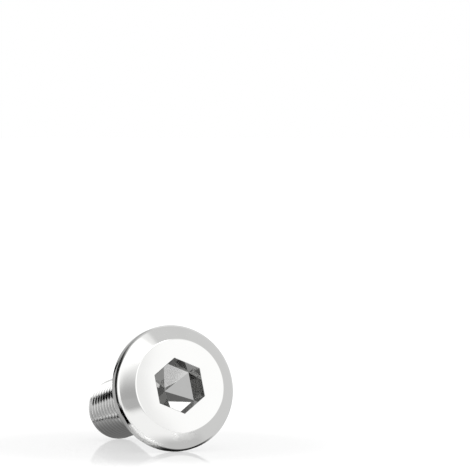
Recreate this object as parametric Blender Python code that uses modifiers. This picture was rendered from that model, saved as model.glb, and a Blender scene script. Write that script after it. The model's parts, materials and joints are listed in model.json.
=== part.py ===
"""A hexagon socket screw with a low disc head, lying on its rim and its thread as it comes to rest.

Metres, +Z up. The screw is modelled upright, drive face up and thread down, with the bearing
plane under the head at height 0. Then it is laid down, with the drive face towards -Y, until
the rim of its head and the crest of its thread both touch the ground at Z = 0.
"""

import math

import bmesh
import bpy
from mathutils import Matrix, Vector

MM = 0.001

# Head
HEAD_DIAMETER = 15.9 * MM
FACE_DIAMETER = 11.8 * MM
RIM_CHAMFER_HEIGHT = 1.6 * MM
RIM_WALL_HEIGHT = 1.2 * MM
UNDERSIDE_ROUND = 0.6 * MM
RIM_EDGE_ROUND = 1.0 * MM
FACE_EDGE_ROUND = 0.4 * MM

# Socket, for a hexagon key with some play round it
KEY_ACROSS_FLATS = 6.0 * MM
KEY_PLAY = 0.14 * MM
SOCKET_DEPTH = 3.8 * MM
SOCKET_SIDES = 6
SOCKET_TURN = math.radians(6.7)
SOCKET_POINT_DEPTH = 1.45 * MM

# Shank: a plain neck, then a right-hand thread down to the chamfered point
LENGTH = 20.0 * MM
THREAD_DIAMETER = 7.8 * MM
THREAD_PITCH = 1.0 * MM
THREAD_DEPTH = 0.65 * THREAD_PITCH
THREAD_FLANK = math.radians(30)
CREST_WIDTH = 0.1 * THREAD_PITCH
NECK_DIAMETER = 8.0 * MM
NECK_LENGTH = 1.2 * MM
NECK_FILLET = 0.4 * MM
NECK_TAPER_LENGTH = 1.0 * MM
POINT_DIAMETER = 6.2 * MM
POINT_CHAMFER_LENGTH = 1.0 * MM

# Fineness: with these counts the head and the thread both have a flat facet where they rest
HEAD_FACETS = 70
THREAD_FACETS = 42
ARC_STEPS = 4
FINE_STEPS = 2
SHARP_ANGLE = math.radians(24)
TILT_HALVINGS = 40

# Room for a cutter to pass beyond what it cuts, and for a piece to reach into the one it joins
CUT_ROOM = 1.0 * MM
JOIN_ROOM = 0.2 * MM
SPARE_TURNS = 3
SAME_POINT = 0.001 * MM

# Measures that follow from these
HEAD_RADIUS = HEAD_DIAMETER / 2
HEAD_THICKNESS = RIM_CHAMFER_HEIGHT + RIM_WALL_HEIGHT + UNDERSIDE_ROUND
NECK_RADIUS = NECK_DIAMETER / 2
THREAD_RADIUS = THREAD_DIAMETER / 2
ROOT_RADIUS = THREAD_RADIUS - THREAD_DEPTH
SOCKET_FLAT_RADIUS = (KEY_ACROSS_FLATS + KEY_PLAY) / 2
SOCKET_FLOOR = HEAD_THICKNESS - SOCKET_DEPTH

STEEL_COLOUR = (0.84, 0.84, 0.83, 1.0)
STEEL_ROUGHNESS = 0.22
STEEL_METALLIC = 1.0


def clear_scene():
    for item in list(bpy.data.objects):
        bpy.data.objects.remove(item, do_unlink=True)


def new_collection(name):
    collection = bpy.data.collections.new(name)
    bpy.context.scene.collection.children.link(collection)
    return collection


def mark_as_cutter(item):
    item.hide_render = True
    item.display_type = "WIRE"


def polyline_mesh(name, points):
    """A mesh of one open line of (radius, height) points in the plane Y = 0."""
    bm = bmesh.new()
    verts = [bm.verts.new((radius, 0, height)) for radius, height in points]
    for upper, lower in zip(verts, verts[1:]):
        bm.edges.new((upper, lower))
    mesh = bpy.data.meshes.new(name)
    bm.to_mesh(mesh)
    bm.free()
    return mesh


def arc(centre, radius, start, end, steps=ARC_STEPS):
    """Points on an arc about a (radius, height) centre; angles in degrees from outward to up."""
    points = []
    for step in range(steps + 1):
        angle = math.radians(start + (end - start) * step / steps)
        points.append((centre[0] + radius * math.cos(angle), centre[1] + radius * math.sin(angle)))
    return points


def rounded_corner(before, corner, after, radius, steps):
    """An arc that rounds a convex corner of an outline run from top to bottom."""
    into = (Vector(corner) - Vector(before)).normalized()
    away = (Vector(after) - Vector(corner)).normalized()
    turn = into.angle(away)
    setback = radius * math.tan(turn / 2)
    first = Vector(corner) - into * setback
    inward = Vector((into.y, -into.x))
    centre = first + inward * radius
    start = math.degrees(math.atan2(first.y - centre.y, first.x - centre.x))
    return arc(tuple(centre), radius, start, start - math.degrees(turn), steps)


def turned(name, outline, collection):
    """An outline run from top to bottom on its outer side, turned about the Z axis."""
    item = bpy.data.objects.new(name, polyline_mesh(name, outline))
    collection.objects.link(item)
    screw = item.modifiers.new("turn", "SCREW")
    screw.axis = "Z"
    screw.angle = 2 * math.pi
    screw.steps = HEAD_FACETS
    screw.render_steps = HEAD_FACETS
    screw.use_merge_vertices = True
    screw.merge_threshold = SAME_POINT
    return item


def evaluated_mesh(item):
    """The item's mesh with its modifiers applied."""
    bpy.context.view_layer.update()
    depsgraph = bpy.context.evaluated_depsgraph_get()
    return bpy.data.meshes.new_from_object(item.evaluated_get(depsgraph))


def add_boolean(item, operation, other):
    boolean = item.modifiers.new(operation.lower(), "BOOLEAN")
    boolean.operation = operation
    boolean.solver = "EXACT"
    boolean.object = other


def make_head(collection):
    """The disc head: flat drive face, chamfered rim with soft edges, straight wall, neck."""
    top = HEAD_THICKNESS
    wall_top = top - RIM_CHAMFER_HEIGHT
    wall_bottom = wall_top - RIM_WALL_HEIGHT
    face_centre = (0, top)
    face_edge = (FACE_DIAMETER / 2, top)
    rim_edge = (HEAD_RADIUS, wall_top)
    wall_end = (HEAD_RADIUS, wall_bottom)
    underside_round = arc((HEAD_RADIUS - UNDERSIDE_ROUND, wall_bottom), UNDERSIDE_ROUND, 0, -90)
    neck_fillet = arc((NECK_RADIUS + NECK_FILLET, -NECK_FILLET), NECK_FILLET, 90, 180)
    taper_end = -NECK_LENGTH - NECK_TAPER_LENGTH
    outline = [face_centre]
    outline += rounded_corner(face_centre, face_edge, rim_edge, FACE_EDGE_ROUND, FINE_STEPS)
    outline += rounded_corner(face_edge, rim_edge, wall_end, RIM_EDGE_ROUND, ARC_STEPS)
    outline += underside_round
    outline += neck_fillet
    outline += [
        (NECK_RADIUS, -NECK_LENGTH),
        (ROOT_RADIUS - JOIN_ROOM, taper_end),
        (0, taper_end),
    ]
    return turned("head_body", outline, collection)


def thread_tooth():
    """One pitch of the thread's outline, from the root above a crest to the root below it."""
    flank_height = THREAD_DEPTH * math.tan(THREAD_FLANK)
    root_width = THREAD_PITCH - CREST_WIDTH - 2 * flank_height
    crest_top = -root_width / 2 - flank_height
    crest_bottom = crest_top - CREST_WIDTH
    return [
        (ROOT_RADIUS, 0),
        (ROOT_RADIUS, -root_width / 2),
        (THREAD_RADIUS, crest_top),
        (THREAD_RADIUS, crest_bottom),
        (ROOT_RADIUS, crest_bottom - flank_height),
        (ROOT_RADIUS, -THREAD_PITCH),
    ]


def wind_thread(top, bottom, collection):
    """A closed right-hand threaded rod that reaches past both heights."""
    turns = math.ceil((top - bottom) / THREAD_PITCH) + SPARE_TURNS
    start = top - (turns - SPARE_TURNS + 1) * THREAD_PITCH
    outline = [(radius, start + height) for radius, height in thread_tooth()]
    item = bpy.data.objects.new("thread_rod", polyline_mesh("thread_rod", outline))
    collection.objects.link(item)
    screw = item.modifiers.new("wind", "SCREW")
    screw.axis = "Z"
    screw.angle = 2 * math.pi
    screw.screw_offset = THREAD_PITCH
    screw.iterations = turns
    screw.steps = THREAD_FACETS
    screw.render_steps = THREAD_FACETS
    wound = evaluated_mesh(item)
    item.modifiers.clear()
    close_rod_ends(wound)
    item.data = wound
    return item


def close_rod_ends(mesh):
    """Merges the turns of a wound thread and fills each end with a low cone of faces."""
    bm = bmesh.new()
    bm.from_mesh(mesh)
    bmesh.ops.remove_doubles(bm, verts=bm.verts, dist=SAME_POINT)
    open_edges = [edge for edge in bm.edges if edge.is_boundary]
    caps = bmesh.ops.holes_fill(bm, edges=open_edges, sides=0)["faces"]
    middle = sum((vert.co.z for vert in bm.verts), 0.0) / len(bm.verts)
    for tip in bmesh.ops.poke(bm, faces=caps)["verts"]:
        outward = math.copysign(THREAD_PITCH, tip.co.z - middle)
        tip.co = Vector((0, 0, tip.co.z + outward))
    bmesh.ops.recalc_face_normals(bm, faces=bm.faces)
    bm.to_mesh(mesh)
    bm.free()


def make_threaded_shank(collection):
    """The threaded rod, trimmed by a turned envelope from inside the neck to the chamfered point."""
    top = -NECK_LENGTH + JOIN_ROOM
    bottom = -LENGTH
    clear_radius = THREAD_RADIUS + CUT_ROOM
    chamfer_slope = POINT_CHAMFER_LENGTH / (THREAD_RADIUS - POINT_DIAMETER / 2)
    point_radius = POINT_DIAMETER / 2
    rod = wind_thread(top, bottom, collection)
    envelope = turned("shank_envelope", [
        (0, top),
        (clear_radius, top),
        (clear_radius, bottom + chamfer_slope * (clear_radius - point_radius)),
        (point_radius, bottom),
        (0, bottom),
    ], collection)
    add_boolean(rod, "INTERSECT", envelope)
    mark_as_cutter(envelope)
    return rod


def make_socket_cutter(collection):
    """A hexagonal prism that ends in a low pyramid, as a punch leaves the socket's bottom."""
    corner_radius = SOCKET_FLAT_RADIUS / math.cos(math.pi / SOCKET_SIDES)
    height = SOCKET_DEPTH + CUT_ROOM
    bm = bmesh.new()
    bmesh.ops.create_cone(
        bm,
        cap_ends=True,
        segments=SOCKET_SIDES,
        radius1=corner_radius,
        radius2=corner_radius,
        depth=height,
        matrix=Matrix.Translation((0, 0, SOCKET_FLOOR + height / 2)),
    )
    bottom = min(bm.faces, key=lambda face: face.calc_center_median().z)
    for tip in bmesh.ops.poke(bm, faces=[bottom])["verts"]:
        tip.co.z -= SOCKET_POINT_DEPTH
    bmesh.ops.rotate(bm, verts=bm.verts, cent=(0, 0, 0), matrix=Matrix.Rotation(SOCKET_TURN, 3, "Z"))
    mesh = bpy.data.meshes.new("socket_cutter")
    bm.to_mesh(mesh)
    bm.free()
    cutter = bpy.data.objects.new("socket_cutter", mesh)
    collection.objects.link(cutter)
    return cutter


def weld(mesh):
    """Merges the points that the cuts leave closer together than anything that is modelled."""
    bm = bmesh.new()
    bm.from_mesh(mesh)
    bmesh.ops.remove_doubles(bm, verts=bm.verts, dist=SAME_POINT)
    bmesh.ops.dissolve_degenerate(bm, edges=bm.edges, dist=SAME_POINT)
    bm.to_mesh(mesh)
    bm.free()


def build_screw(cutters):
    """The screw upright, as one mesh."""
    head = make_head(cutters)
    shank = make_threaded_shank(cutters)
    socket = make_socket_cutter(cutters)
    add_boolean(head, "UNION", shank)
    add_boolean(head, "DIFFERENCE", socket)
    mesh = evaluated_mesh(head)
    weld(mesh)
    for item in (head, shank, socket):
        mark_as_cutter(item)
    return mesh


def steel():
    material = bpy.data.materials.new("polished_steel")
    material.use_nodes = True
    shader = material.node_tree.nodes["Principled BSDF"]
    shader.inputs["Base Color"].default_value = STEEL_COLOUR
    shader.inputs["Roughness"].default_value = STEEL_ROUGHNESS
    shader.inputs["Metallic"].default_value = STEEL_METALLIC
    return material


def resting_tilt(mesh):
    """The angle from level at which the head's rim and the thread's crest reach equally low."""
    head_side = [vert.co for vert in mesh.vertices if vert.co.z > 0]
    shank_side = [vert.co for vert in mesh.vertices if vert.co.z < -NECK_LENGTH]

    def lowest(points, tilt):
        return min(point.y * math.cos(tilt) + point.z * math.sin(tilt) for point in points)

    low, high = 0.0, math.pi / 2
    for _ in range(TILT_HALVINGS):
        tilt = (low + high) / 2
        if lowest(head_side, tilt) < lowest(shank_side, tilt):
            low = tilt
        else:
            high = tilt
    return (low + high) / 2


def lay_down(item):
    """Turns the screw onto its side and sets it on the ground, centred over the origin."""
    turn = Matrix.Rotation(math.pi / 2 - resting_tilt(item.data), 4, "X")
    corners = [turn @ vert.co for vert in item.data.vertices]
    middle_y = (min(point.y for point in corners) + max(point.y for point in corners)) / 2
    lowest_z = min(point.z for point in corners)
    item.matrix_world = Matrix.Translation((0, -middle_y, -lowest_z)) @ turn


def main():
    clear_scene()
    parts = new_collection("countersunk_socket_screw")
    cutters = new_collection("cutters")
    mesh = build_screw(cutters)
    mesh.name = "socket_screw"
    mesh.materials.clear()
    mesh.materials.append(steel())
    mesh.shade_smooth()
    mesh.set_sharp_from_angle(angle=SHARP_ANGLE)
    screw = bpy.data.objects.new("socket_screw", mesh)
    parts.objects.link(screw)
    lay_down(screw)


main()
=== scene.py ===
"""The look of a low head hexagon socket screw that lies on its rim and its thread."""

import json
import math

import bmesh
import bpy
from mathutils import Matrix, Vector


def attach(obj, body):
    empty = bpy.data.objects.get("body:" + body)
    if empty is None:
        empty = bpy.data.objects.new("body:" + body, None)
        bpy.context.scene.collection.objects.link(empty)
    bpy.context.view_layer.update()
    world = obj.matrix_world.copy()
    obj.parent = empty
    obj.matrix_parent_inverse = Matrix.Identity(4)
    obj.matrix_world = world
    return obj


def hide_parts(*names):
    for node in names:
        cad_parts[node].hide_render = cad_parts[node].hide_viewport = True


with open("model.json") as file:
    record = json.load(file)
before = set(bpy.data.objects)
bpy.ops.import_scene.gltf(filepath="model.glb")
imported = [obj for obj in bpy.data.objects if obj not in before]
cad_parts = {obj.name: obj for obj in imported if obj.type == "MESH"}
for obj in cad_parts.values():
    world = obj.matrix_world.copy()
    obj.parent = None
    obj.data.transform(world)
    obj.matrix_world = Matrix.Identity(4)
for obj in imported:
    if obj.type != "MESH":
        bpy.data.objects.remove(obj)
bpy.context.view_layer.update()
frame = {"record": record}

MM = 0.001

# Head, as in the CAD model
HEAD_DIAMETER = 15.9 * MM
FACE_DIAMETER = 11.8 * MM
HEAD_THICKNESS = 3.4 * MM
RIM_CHAMFER_HEIGHT = 1.6 * MM
UNDERSIDE_ROUND = 0.6 * MM
RIM_EDGE_ROUND = 1.0 * MM
FACE_EDGE_ROUND = 0.4 * MM

# Socket, for a 6 mm key
SOCKET_ACROSS_FLATS = 6.14 * MM
SOCKET_DEPTH = 3.8 * MM
SOCKET_SIDES = 6
SOCKET_TURN = math.radians(6.7)
MOUTH_BREAK = 0.04 * MM
SOCKET_POINT_DEPTH = 1.45 * MM

# Shank
LENGTH = 20.0 * MM
THREAD_DIAMETER = 7.8 * MM
THREAD_PITCH = 1.0 * MM
THREAD_DEPTH = 0.65 * MM
THREAD_FLANK = math.radians(30)
CREST_WIDTH = 0.16 * MM
CREST_ROUND = 0.14 * MM
ROOT_ROUND = 0.07 * MM
NECK_DIAMETER = 8.0 * MM
NECK_LENGTH = 1.2 * MM
NECK_FILLET = 0.4 * MM
NECK_TAPER_LENGTH = 1.0 * MM
POINT_DIAMETER = 6.2 * MM
POINT_CHAMFER_LENGTH = 1.0 * MM
POINT_ROUND = 0.12 * MM

# Fineness
TURNED_FACETS = 288
THREAD_FACETS = 72
SPARE_TURNS = 2
ROUND_STEPS = 8
FINE_STEPS = 3
SHARP_ANGLE = math.radians(38)
CUT_ROOM = 1.0 * MM
JOIN_ROOM = 0.2 * MM
SAME_POINT = 0.0005 * MM

# Finishes, with painted shade for the thread's roots
STEEL_COLOUR = (0.84, 0.84, 0.83)
PUNCHED_COLOUR = (0.50, 0.50, 0.495)
# Painted shade: the thread's roots are coloured this dark so that its hollows look shaded
PAINTED_ROOT_SHADE_COLOUR = (0.22, 0.22, 0.22)
TURNED, ROLLED, PUNCHED = range(3)
NOISE_MIDDLE = (0.25, 0.75)

# Turned steel of the head
TURNED_LINE_SPACING = 0.05 * MM
TURNED_LINE_RUN = 1.5
TURNED_LINE_HEIGHT = 0.0006 * MM
TURNED_ROUGHNESS = (0.09, 0.16)
SMUDGE_SIZE = 2.5 * MM
SMUDGE_SHADE = 0.03

# Rolled steel of the thread
ROLLED_LINE_SPACING = 0.08 * MM
ROLLED_LINE_RUN = 4.0
ROLLED_LINE_HEIGHT = 0.0002 * MM
ROLLED_ROUGHNESS = (0.10, 0.17)
ROLLED_GRAIN_SIZE = 0.35 * MM
# The share of the thread's depth below the crest that the painted root shade leaves fully bright
BRIGHT_CREST_SHARE = 0.1

# Punched steel of the socket
SCORE_SPACING = 0.08 * MM
SCORE_STRETCH = 0.05
SCORE_HEIGHT = 0.00005 * MM
PUNCHED_ROUGHNESS = (0.03, 0.05)
PUNCHED_GRAIN_SIZE = 0.6 * MM
PUNCHED_SHADE = 0.06

# Camera, level, at the photograph's place
CAMERA_PLACE = (-0.185758, -0.472561, 0.045605)
CAMERA_AIM = (0.38602, 0.92175, -0.03703)
CAMERA_LENS = 305.67
CAMERA_FILM = 36.0
CAMERA_CLIP = (0.01, 100)


def mount_named(name):
    return next(mount for mount in frame["record"]["mounts"] if mount["name"] == name)


def screw_place():
    """The matrix that lays the upright screw down where its CAD solid lies."""
    bearing = mount_named("bearing_face")
    up_the_head = -Vector(bearing["axis"])
    across = Vector((1, 0, 0))
    turn = Matrix((across, up_the_head.cross(across), up_the_head)).transposed()
    centre = Vector((0, bearing["pos_m"][1], bearing["pos_m"][2]))
    return Matrix.Translation(centre) @ turn.to_4x4()


PLACE = screw_place()


# Meshes

def outline(corners):
    """A bmesh of one open line through (radius, height, rounding, steps) corners."""
    bm = bmesh.new()
    verts = [bm.verts.new((radius, 0, height)) for radius, height, _, _ in corners]
    for first, second in zip(verts, verts[1:]):
        bm.edges.new((first, second))
    setbacks = []
    for before, vert, after, corner in zip(verts, verts[1:], verts[2:], corners[1:]):
        opening = (before.co - vert.co).angle(after.co - vert.co)
        setbacks.append((vert, corner[2] / math.tan(opening / 2), corner[3]))
    for vert, setback, steps in setbacks:
        if setback > 0:
            bmesh.ops.bevel(
                bm, geom=[vert], offset=setback, offset_type="OFFSET", segments=steps,
                profile=0.5, affect="VERTICES", material=-1,
            )
    return bm


def turned(bm):
    """Turns an outline once round the Z axis into a closed shape."""
    bmesh.ops.spin(
        bm, geom=bm.verts[:] + bm.edges[:], cent=(0, 0, 0), axis=(0, 0, 1),
        angle=2 * math.pi, steps=TURNED_FACETS, use_merge=True,
    )
    bmesh.ops.remove_doubles(bm, verts=bm.verts, dist=SAME_POINT)
    bmesh.ops.recalc_face_normals(bm, faces=bm.faces)
    return bm


def new_object(name, bm, material_index=0):
    for face in bm.faces:
        face.material_index = material_index
        face.smooth = True
    mesh = bpy.data.meshes.new(name)
    bm.to_mesh(mesh)
    bm.free()
    item = bpy.data.objects.new(name, mesh)
    bpy.context.scene.collection.objects.link(item)
    return item


def head_shape():
    """The disc head with its chamfered rim, rounded underside and plain neck."""
    wall_top = HEAD_THICKNESS - RIM_CHAMFER_HEIGHT
    neck_end = -NECK_LENGTH - NECK_TAPER_LENGTH
    core_radius = THREAD_DIAMETER / 2 - THREAD_DEPTH - JOIN_ROOM
    return turned(outline([
        (0, HEAD_THICKNESS, 0, 0),
        (FACE_DIAMETER / 2, HEAD_THICKNESS, FACE_EDGE_ROUND, ROUND_STEPS),
        (HEAD_DIAMETER / 2, wall_top, RIM_EDGE_ROUND, ROUND_STEPS),
        (HEAD_DIAMETER / 2, 0, UNDERSIDE_ROUND, ROUND_STEPS),
        (NECK_DIAMETER / 2, 0, NECK_FILLET, ROUND_STEPS),
        (NECK_DIAMETER / 2, -NECK_LENGTH, 0, 0),
        (core_radius, neck_end, 0, 0),
        (0, neck_end, 0, 0),
    ]))


def thread_shape():
    """A right-hand thread from inside the neck to past the point."""
    crest = THREAD_DIAMETER / 2
    root = crest - THREAD_DEPTH
    flank_height = THREAD_DEPTH * math.tan(THREAD_FLANK)
    root_half = (THREAD_PITCH - CREST_WIDTH) / 2 - flank_height
    start = -LENGTH - THREAD_PITCH
    turns = math.ceil((LENGTH - NECK_LENGTH) / THREAD_PITCH) + SPARE_TURNS
    tooth = outline([
        (root, start, 0, 0),
        (root, start + root_half, ROOT_ROUND, FINE_STEPS),
        (crest, start + root_half + flank_height, CREST_ROUND, FINE_STEPS),
        (crest, start + root_half + flank_height + CREST_WIDTH, CREST_ROUND, FINE_STEPS),
        (root, start + THREAD_PITCH - root_half, ROOT_ROUND, FINE_STEPS),
        (root, start + THREAD_PITCH, 0, 0),
    ])
    bmesh.ops.spin(
        tooth, geom=tooth.verts[:] + tooth.edges[:], cent=(0, 0, 0), axis=(0, 0, 1),
        dvec=(0, 0, THREAD_PITCH / THREAD_FACETS), angle=2 * math.pi * turns,
        steps=THREAD_FACETS * turns, use_merge=False,
    )
    bmesh.ops.remove_doubles(tooth, verts=tooth.verts, dist=SAME_POINT)
    rims = [edge for edge in tooth.edges if edge.is_boundary]
    caps = bmesh.ops.holes_fill(tooth, edges=rims, sides=0)["faces"]
    middle = start + turns * THREAD_PITCH / 2
    for tip in bmesh.ops.poke(tooth, faces=caps)["verts"]:
        outward = math.copysign(THREAD_PITCH, tip.co.z - middle)
        tip.co = Vector((0, 0, tip.co.z + outward))
    bmesh.ops.recalc_face_normals(tooth, faces=tooth.faces)
    return tooth


def shank_envelope():
    """What the thread is trimmed to: straight sides and a chamfered point."""
    point = POINT_DIAMETER / 2
    clear = THREAD_DIAMETER / 2 + CUT_ROOM
    slope = POINT_CHAMFER_LENGTH / (THREAD_DIAMETER / 2 - point)
    top = -NECK_LENGTH + JOIN_ROOM
    return turned(outline([
        (0, top, 0, 0),
        (clear, top, 0, 0),
        (clear, -LENGTH + slope * (clear - point), 0, 0),
        (point, -LENGTH, POINT_ROUND, FINE_STEPS),
        (0, -LENGTH, 0, 0),
    ]))


def socket_cutter():
    """The hexagonal punch: flared where it breaks the mouth's edge, with a pyramid for its tip."""
    floor = HEAD_THICKNESS - SOCKET_DEPTH
    corner = SOCKET_ACROSS_FLATS / 2 / math.cos(math.pi / SOCKET_SIDES)
    height = SOCKET_DEPTH - MOUTH_BREAK
    bm = bmesh.new()
    bmesh.ops.create_cone(
        bm, cap_ends=True, segments=SOCKET_SIDES, radius1=corner, radius2=corner, depth=height,
        matrix=Matrix.Translation((0, 0, floor + height / 2)),
    )
    lid = max(bm.faces, key=lambda face: face.calc_center_median().z)
    rise = MOUTH_BREAK + CUT_ROOM
    raised = bmesh.ops.extrude_discrete_faces(bm, faces=[lid])
    lid = raised["faces"][0]
    bmesh.ops.translate(bm, verts=lid.verts, vec=(0, 0, rise))
    wider = 1 + rise / (SOCKET_ACROSS_FLATS / 2)
    bmesh.ops.scale(bm, verts=lid.verts, vec=(wider, wider, 1))
    bottom = min(bm.faces, key=lambda face: face.calc_center_median().z)
    for tip in bmesh.ops.poke(bm, faces=[bottom])["verts"]:
        tip.co.z -= SOCKET_POINT_DEPTH
    bmesh.ops.rotate(bm, verts=bm.verts, cent=(0, 0, 0), matrix=Matrix.Rotation(SOCKET_TURN, 3, "Z"))
    bmesh.ops.recalc_face_normals(bm, faces=bm.faces)
    return bm


def add_boolean(item, operation, other):
    boolean = item.modifiers.new(operation.lower(), "BOOLEAN")
    boolean.operation = operation
    boolean.solver = "EXACT"
    boolean.object = other


def applied_mesh(item):
    bpy.context.view_layer.update()
    depsgraph = bpy.context.evaluated_depsgraph_get()
    return bpy.data.meshes.new_from_object(item.evaluated_get(depsgraph))


def make_screw(materials):
    """The whole screw as one mesh, laid down where the CAD solid lies."""
    screw = new_object("screw_blank", head_shape(), TURNED)
    thread = new_object("thread", thread_shape(), ROLLED)
    envelope = new_object("envelope", shank_envelope(), ROLLED)
    socket = new_object("socket", socket_cutter(), PUNCHED)
    for item in (screw, thread, envelope, socket):
        for material in materials:
            item.data.materials.append(material)
    add_boolean(thread, "INTERSECT", envelope)
    add_boolean(screw, "UNION", thread)
    add_boolean(screw, "DIFFERENCE", socket)
    mesh = applied_mesh(screw)
    for item in (screw, thread, envelope, socket):
        bpy.data.objects.remove(item, do_unlink=True)
    mesh.transform(PLACE)
    mesh.shade_smooth()
    mesh.set_sharp_from_angle(angle=SHARP_ANGLE)
    for polygon in mesh.polygons:
        if polygon.material_index == PUNCHED:
            polygon.use_smooth = False
    finished = bpy.data.objects.new("low_head_socket_screw", mesh)
    bpy.context.scene.collection.objects.link(finished)
    weighted = finished.modifiers.new("flat_faces_stay_flat", "WEIGHTED_NORMAL")
    weighted.keep_sharp = True
    return finished


# Materials

def new_material(name):
    material = bpy.data.materials.new(name)
    material.use_nodes = True
    return material, material.node_tree.nodes, material.node_tree.links


def new_metal(name):
    material, nodes, links = new_material(name)
    shader = nodes["Principled BSDF"]
    shader.inputs["Metallic"].default_value = 1.0
    return material, nodes, links, shader


def screw_coordinates(nodes, links):
    """Object coordinates turned into the screw's own: Z along its axis, 0 under the head."""
    coordinates = nodes.new("ShaderNodeTexCoord")
    mapping = nodes.new("ShaderNodeMapping")
    mapping.vector_type = "TEXTURE"
    mapping.inputs["Location"].default_value = PLACE.to_translation()
    mapping.inputs["Rotation"].default_value = PLACE.to_euler()
    links.new(coordinates.outputs["Object"], mapping.inputs["Vector"])
    return mapping.outputs["Vector"]


def math_node(nodes, links, operation, first, second):
    node = nodes.new("ShaderNodeMath")
    node.operation = operation
    for socket, value in zip(node.inputs, (first, second)):
        if isinstance(value, (int, float)):
            socket.default_value = value
        else:
            links.new(value, socket)
    return node.outputs["Value"]


def vector_node(nodes, links, operation, *values):
    node = nodes.new("ShaderNodeVectorMath")
    node.operation = operation
    for socket, value in zip(node.inputs, values):
        if isinstance(value, tuple):
            socket.default_value = value
        else:
            links.new(value, socket)
    return node


def away_from_axis(nodes, links, place):
    """The part of a place that is square to the screw's axis, and its length."""
    flat = vector_node(nodes, links, "MULTIPLY", place, (1.0, 1.0, 0.0)).outputs["Vector"]
    return flat, vector_node(nodes, links, "LENGTH", flat).outputs["Value"]


def ring_coordinates(nodes, links, place, line_spacing, run):
    """Coordinates in which noise draws out into lines round the screw's axis."""
    flat, radius = away_from_axis(nodes, links, place)
    direction = vector_node(nodes, links, "NORMALIZE", flat).outputs["Vector"]
    split_place = nodes.new("ShaderNodeSeparateXYZ")
    split_direction = nodes.new("ShaderNodeSeparateXYZ")
    links.new(place, split_place.inputs["Vector"])
    links.new(direction, split_direction.inputs["Vector"])
    along = math_node(nodes, links, "SUBTRACT", radius, split_place.outputs["Z"])
    rings = nodes.new("ShaderNodeCombineXYZ")
    links.new(math_node(nodes, links, "DIVIDE", along, line_spacing), rings.inputs["X"])
    links.new(math_node(nodes, links, "MULTIPLY", split_direction.outputs["X"], run), rings.inputs["Y"])
    links.new(math_node(nodes, links, "MULTIPLY", split_direction.outputs["Y"], run), rings.inputs["Z"])
    return rings.outputs["Vector"]


def noise(nodes, links, vector, scale, detail):
    texture = nodes.new("ShaderNodeTexNoise")
    texture.inputs["Scale"].default_value = scale
    texture.inputs["Detail"].default_value = detail
    links.new(vector, texture.inputs["Vector"])
    return texture.outputs["Fac"]


def spread(nodes, links, value, low, high):
    """Maps the middle half of a noise to a range."""
    ramp = nodes.new("ShaderNodeMapRange")
    ramp.inputs["From Min"].default_value = NOISE_MIDDLE[0]
    ramp.inputs["From Max"].default_value = NOISE_MIDDLE[1]
    ramp.inputs["To Min"].default_value = low
    ramp.inputs["To Max"].default_value = high
    links.new(value, ramp.inputs["Value"])
    return ramp.outputs["Result"]


def tinted(nodes, links, value, low, high, shader):
    """Lets a value run the steel's colour from one shade to another."""
    mix = nodes.new("ShaderNodeMix")
    mix.data_type = "RGBA"
    mix.inputs["A"].default_value = low + (1.0,)
    mix.inputs["B"].default_value = high + (1.0,)
    links.new(value, mix.inputs["Factor"])
    links.new(mix.outputs["Result"], shader.inputs["Base Color"])


def darker(colour, share):
    return tuple(channel * (1 - share) for channel in colour)


def bump(nodes, links, height, depth, shader):
    bumped = nodes.new("ShaderNodeBump")
    bumped.inputs["Distance"].default_value = depth
    links.new(height, bumped.inputs["Height"])
    links.new(bumped.outputs["Normal"], shader.inputs["Normal"])


def turned_steel():
    """Polished steel with the fine lines of a turned face."""
    material, nodes, links, shader = new_metal("turned_steel")
    place = screw_coordinates(nodes, links)
    rings = ring_coordinates(nodes, links, place, TURNED_LINE_SPACING, TURNED_LINE_RUN)
    lines = noise(nodes, links, rings, 1.0, 3.0)
    smudges = noise(nodes, links, place, 1 / SMUDGE_SIZE, 3.0)
    worn = math_node(nodes, links, "MULTIPLY", lines, smudges)
    links.new(spread(nodes, links, worn, *TURNED_ROUGHNESS), shader.inputs["Roughness"])
    tinted(nodes, links, smudges, darker(STEEL_COLOUR, SMUDGE_SHADE), STEEL_COLOUR, shader)
    bump(nodes, links, lines, TURNED_LINE_HEIGHT, shader)
    return material


def rolled_steel_and_painted_root_shade():
    """Bright steel with the lines of the rolling dies along the thread, and painted shade that darkens it
    towards the roots.
    """
    material, nodes, links, shader = new_metal("rolled_steel_and_painted_root_shade")
    place = screw_coordinates(nodes, links)
    rings = ring_coordinates(nodes, links, place, ROLLED_LINE_SPACING, ROLLED_LINE_RUN)
    lines = noise(nodes, links, rings, 1.0, 2.0)
    grain = noise(nodes, links, place, 1 / ROLLED_GRAIN_SIZE, 4.0)
    links.new(spread(nodes, links, grain, *ROLLED_ROUGHNESS), shader.inputs["Roughness"])
    radius = away_from_axis(nodes, links, place)[1]
    # Painted shade: the colour darkens from the crest down to the root of the thread
    height = nodes.new("ShaderNodeMapRange")
    height.inputs["From Min"].default_value = THREAD_DIAMETER / 2 - THREAD_DEPTH
    height.inputs["From Max"].default_value = THREAD_DIAMETER / 2 - BRIGHT_CREST_SHARE * THREAD_DEPTH
    links.new(radius, height.inputs["Value"])
    tinted(nodes, links, height.outputs["Result"], PAINTED_ROOT_SHADE_COLOUR, STEEL_COLOUR, shader)
    bump(nodes, links, lines, ROLLED_LINE_HEIGHT, shader)
    return material


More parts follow.
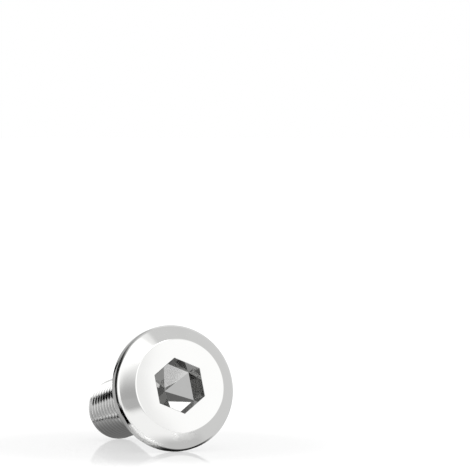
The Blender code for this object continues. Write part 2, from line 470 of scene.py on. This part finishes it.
def punched_steel():
    """The socket's steel, smooth from the punch, with faint scores down its walls."""
    material, nodes, links, shader = new_metal("punched_steel")
    place = screw_coordinates(nodes, links)
    drawn = vector_node(nodes, links, "MULTIPLY", place, (1.0, 1.0, SCORE_STRETCH)).outputs["Vector"]
    scores = noise(nodes, links, drawn, 1 / SCORE_SPACING, 2.0)
    grain = noise(nodes, links, place, 1 / PUNCHED_GRAIN_SIZE, 3.0)
    links.new(spread(nodes, links, grain, *PUNCHED_ROUGHNESS), shader.inputs["Roughness"])
    tinted(nodes, links, grain, darker(PUNCHED_COLOUR, PUNCHED_SHADE), PUNCHED_COLOUR, shader)
    bump(nodes, links, scores, SCORE_HEIGHT, shader)
    return material


# Studio: a white floor in a white surround

FLOOR_RADIUS = 3.0
FLOOR_SIDES = 96
FLOOR_DROP = 0.01 * MM
FLOOR_MIRROR = 0.36
FLOOR_MIRROR_ROUGHNESS = 0.04
FLOOR_GLOW = 1.2
FLOOR_GLOW_SHARE = 0.7
MIRROR_CLEAR = 17 * MM
MIRROR_GONE = 40 * MM


def ranged(nodes, links, value, start, end, first, last):
    """Runs a value smoothly from first to last between start and end."""
    ramp = nodes.new("ShaderNodeMapRange")
    ramp.interpolation_type = "SMOOTHSTEP"
    ramp.inputs["From Min"].default_value = start
    ramp.inputs["From Max"].default_value = end
    ramp.inputs["To Min"].default_value = first
    ramp.inputs["To Max"].default_value = last
    links.new(value, ramp.inputs["Value"])
    return ramp.outputs["Result"]


def mixed(nodes, links, share, first, second):
    mix = nodes.new("ShaderNodeMixShader")
    links.new(share, mix.inputs["Fac"])
    links.new(first, mix.inputs[1])
    links.new(second, mix.inputs[2])
    return mix.outputs["Shader"]


def floor_material():
    """White, shaded softly where the screw stands, and a faint mirror close round it."""
    material, nodes, links = new_material("white_floor")
    nodes.clear()
    matt = nodes.new("ShaderNodeBsdfDiffuse")
    matt.inputs["Color"].default_value = (1, 1, 1, 1)
    glow = nodes.new("ShaderNodeEmission")
    glow.inputs["Strength"].default_value = FLOOR_GLOW
    gloss = nodes.new("ShaderNodeBsdfGlossy")
    gloss.inputs["Color"].default_value = (1, 1, 1, 1)
    gloss.inputs["Roughness"].default_value = FLOOR_MIRROR_ROUGHNESS
    path = nodes.new("ShaderNodeLightPath")
    seen = math_node(nodes, links, "MULTIPLY", path.outputs["Is Camera Ray"], FLOOR_GLOW_SHARE)
    white = mixed(nodes, links, seen, matt.outputs["BSDF"], glow.outputs["Emission"])
    place = nodes.new("ShaderNodeTexCoord")
    away = vector_node(nodes, links, "LENGTH", place.outputs["Object"]).outputs["Value"]
    mirror = ranged(nodes, links, away, MIRROR_CLEAR, MIRROR_GONE, FLOOR_MIRROR, 0.0)
    output = nodes.new("ShaderNodeOutputMaterial")
    links.new(mixed(nodes, links, mirror, white, gloss.outputs["BSDF"]), output.inputs["Surface"])
    return material


def make_floor():
    bm = bmesh.new()
    bmesh.ops.create_circle(bm, cap_ends=True, segments=FLOOR_SIDES, radius=FLOOR_RADIUS)
    bmesh.ops.translate(bm, verts=bm.verts, vec=(0, 0, -FLOOR_DROP))
    floor = new_object("floor", bm)
    floor.data.materials.append(floor_material())


def light_studio():
    """A white surround that lights everything evenly."""
    world = bpy.data.worlds.new("white_surround")
    world.use_nodes = True
    background = world.node_tree.nodes["Background"]
    background.inputs["Color"].default_value = (1, 1, 1, 1)
    background.inputs["Strength"].default_value = 1.0
    world.cycles.sampling_method = "NONE"
    bpy.context.scene.world = world


# Cards that only the metal mirrors. Azimuths run in degrees from the drive face's side, -Y,
# towards +X. Each card gives its two ranges, its place, its brightness and its soft edges, in
# the units of the ranges: low and high end of the first, then of the second

CARD_PIECES = 48
CARD_LAYER_MM = 0.01
HEAD_MIDDLE = PLACE @ Vector((0, 0, HEAD_THICKNESS / 2))
RIM_FOOT = PLACE @ Vector((0, -HEAD_DIAMETER / 2, HEAD_THICKNESS - RIM_CHAMFER_HEIGHT))
HEAD_FOOT = Vector((0, RIM_FOOT.y, 0))


def hung(azimuth, height, distance):
    """Places on a ball round the head, by degrees to the right of a direction and above it.

    The distances, in metres, put each card in front of those that it covers in part.
    """
    turn = Matrix.Rotation(math.radians(azimuth), 3, "Z") @ Matrix.Rotation(-math.radians(height), 3, "X")

    def place(right, above):
        level = distance * math.cos(math.radians(right))
        aside = distance * math.sin(math.radians(right))
        ahead = -level * math.cos(math.radians(above))
        up = level * math.sin(math.radians(above))
        return HEAD_MIDDLE + turn @ Vector((aside, ahead, up))
    return place


def fanned(layer):
    """Places on the floor by azimuth in degrees and reach in mm from the head's foot."""
    def place(azimuth, reach):
        side = math.sin(math.radians(azimuth)) * reach
        ahead = -math.cos(math.radians(azimuth)) * reach
        return HEAD_FOOT + Vector((side, ahead, layer * CARD_LAYER_MM)) * MM
    return place


def laid(layer):
    """Places on the floor by x and y in mm."""
    def place(x, y):
        return Vector((x, y, layer * CARD_LAYER_MM)) * MM
    return place


def beside_thread(aside):
    """Places in a plane along the screw, by the screw's own height above its axis and along it."""
    def place(above, along):
        return PLACE @ (Vector((aside, above, along)) * MM)
    return place


def card_material(name, across, along, brightness, soft):
    """A glow that fades out at the card's edges and is clear from behind."""
    material, nodes, links = new_material(name)
    nodes.clear()
    coordinates = nodes.new("ShaderNodeTexCoord")
    split = nodes.new("ShaderNodeSeparateXYZ")
    links.new(coordinates.outputs["UV"], split.inputs["Vector"])
    side = nodes.new("ShaderNodeNewGeometry")
    mask = math_node(nodes, links, "SUBTRACT", 1.0, side.outputs["Backfacing"])
    for axis, (start, end), (low, high) in (("X", across, soft[:2]), ("Y", along, soft[2:])):
        span = end - start
        rise = ranged(nodes, links, split.outputs[axis], 0.0, low / span, 0.0, 1.0)
        fall = ranged(nodes, links, split.outputs[axis], 1.0 - high / span, 1.0, 1.0, 0.0)
        mask = math_node(nodes, links, "MULTIPLY", mask, math_node(nodes, links, "MULTIPLY", rise, fall))
    clear = nodes.new("ShaderNodeBsdfTransparent")
    glow = nodes.new("ShaderNodeEmission")
    glow.inputs["Strength"].default_value = brightness
    output = nodes.new("ShaderNodeOutputMaterial")
    faded = mixed(nodes, links, mask, clear.outputs["BSDF"], glow.outputs["Emission"])
    links.new(faded, output.inputs["Surface"])
    material.cycles.emission_sampling = "NONE"
    return material


def within(limits, grid_place):
    """The value between two limits for a place from -1 to 1 on a card's flat grid."""
    return limits[0] + (grid_place + 1) / 2 * (limits[1] - limits[0])


def card(name, across, along, place, brightness, soft):
    """A card over two ranges that faces the head, seen by nothing but mirroring steel."""
    bm = bmesh.new()
    bm.loops.layers.uv.new("card")
    bmesh.ops.create_grid(bm, x_segments=CARD_PIECES, y_segments=CARD_PIECES, size=1.0, calc_uvs=True)
    for vert in bm.verts:
        vert.co = place(within(across, vert.co.x), within(along, vert.co.y))
    bm.normal_update()
    corner = bm.faces[:][0]
    if corner.normal.dot(HEAD_MIDDLE - corner.calc_center_median()) < 0:
        bmesh.ops.reverse_faces(bm, faces=bm.faces)
    item = new_object(name, bm)
    item.data.materials.append(card_material(name, across, along, brightness, soft))
    item.visible_camera = False
    item.visible_diffuse = False
    item.visible_transmission = False
    item.visible_volume_scatter = False
    item.visible_shadow = False


def hang_far_cards():
    """Bright boxes and dark flags that the head and the thread mirror from all round."""
    card("white_side", (-17, 17), (-45, 45), hung(-78, 38, 1.30), 1.25, (12, 6, 1, 10))
    card("key_box", (-25, 25), (-19, 19), hung(-62, 63, 1.28), 1.35, (10, 10, 8, 6))
    card("overhead_box", (-22, 22), (-15, 15), hung(-8, 62, 1.27), 2.3, (6, 6, 6, 6))
    card("front_box", (-19, 19), (-20, 20), hung(40.2, 20, 1.20), 1.19, (1.6, 6, 6, 6))
    card("edge_box", (-14, 14), (-19, 19), hung(-8, 22, 1.22), 1.35, (5, 5, 3, 6))
    card("grey_flag", (-17, 17), (-28, 28), hung(-46, 18, 1.20), 0.46, (4, 8, 1, 40))
    card("grey_screen", (-28, 28), (-53, 53), hung(92, 42, 1.25), 0.71, (8, 14, 1, 6))
    card("grey_back", (-35, 35), (-25, 25), hung(148, 15, 1.22), 0.68, (14, 10, 1, 10))
    card("grey_roof", (-35, 35), (-20, 20), hung(165, 62, 1.24), 0.70, (10, 10, 10, 10))
    card("dark_side", (-29, 29), (-42, 42), hung(-125, 28, 1.18), 0.02, (14, 9, 1, 34))
    card("dim_back", (-21, 21), (-27, 27), hung(-170, 25, 1.19), 0.42, (10, 6, 1, 8))


def stand_thread_flag():
    """A black strip behind the head that darkens the hollows of the thread."""
    card("thread_flag", (2.2, 8.0), (-14, -2), beside_thread(-8.5), 0.0, (1, 1.5, 1, 1))


def lay_floor_cards():
    """The floor as the metal mirrors it, with painted shadow where the screw shades it: each card lies
    above those named before it.
    """
    card("front_floor", (-75, 35), (0, 40), fanned(2), 1.06, (6, 65, 0.01, 18))
    card("edge_floor", (8, 70), (9, 80), fanned(2.5), 1.3, (6, 14, 3, 30))
    card("right_floor", (20, 109), (2, 1300), fanned(3), 0.71, (24, 5, 3, 10))
    card("right_back_floor", (104, 178), (2, 1300), fanned(4), 0.64, (5, 5, 3, 10))
    card("left_flag_floor", (-64, -28), (16, 1300), fanned(5), 0.50, (4, 8, 18, 10))
    card("dim_floor", (-186, -132), (2, 1300), fanned(6), 0.45, (5, 8, 2, 10))
    card("dark_floor", (-142, -97), (24, 1300), fanned(7), 0.02, (8, 8, 8, 10))
    card("near_dark_floor", (-134, -84), (9.8, 40), fanned(8), 0.0, (6, 5, 1.2, 20))
    # Painted shadow: a dimmer sheet in front of the head's foot, where the screw shades the floor
    card("near_shadow_floor", (-6, 6), (-14.2, -11), laid(9), 0.60, (5, 3, 2, 0.01))
    card("shank_edge_floor", (-15, -3), (-6.8, 7), laid(9.5), 0.42, (4, 5, 1.5, 6))
    # Painted shadow: a dark sheet under the shank, where the shank shades the floor
    card("shank_shadow_floor", (-13, 8), (-5, 24), laid(10), 0.17, (11, 5, 3, 16))
    card("shade_floor", (-4, 8), (-11.3, -3), laid(11), 0.01, (2.5, 5, 0.3, 5))


def place_camera():
    camera = bpy.data.cameras.new("camera")
    camera.lens = CAMERA_LENS
    camera.sensor_width = CAMERA_FILM
    camera.clip_start, camera.clip_end = CAMERA_CLIP
    stand = bpy.data.objects.new("camera", camera)
    stand.location = CAMERA_PLACE
    stand.rotation_euler = Vector(CAMERA_AIM).to_track_quat("-Z", "Y").to_euler()
    bpy.context.scene.collection.objects.link(stand)
    bpy.context.scene.camera = stand


place_camera()
screw = make_screw((turned_steel(), rolled_steel_and_painted_root_shade(), punched_steel()))
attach(screw, "root")
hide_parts("socket_screw")
make_floor()
light_studio()
hang_far_cards()
stand_thread_flag()
lay_floor_cards()
bpy.context.scene.view_settings.view_transform = "Standard"
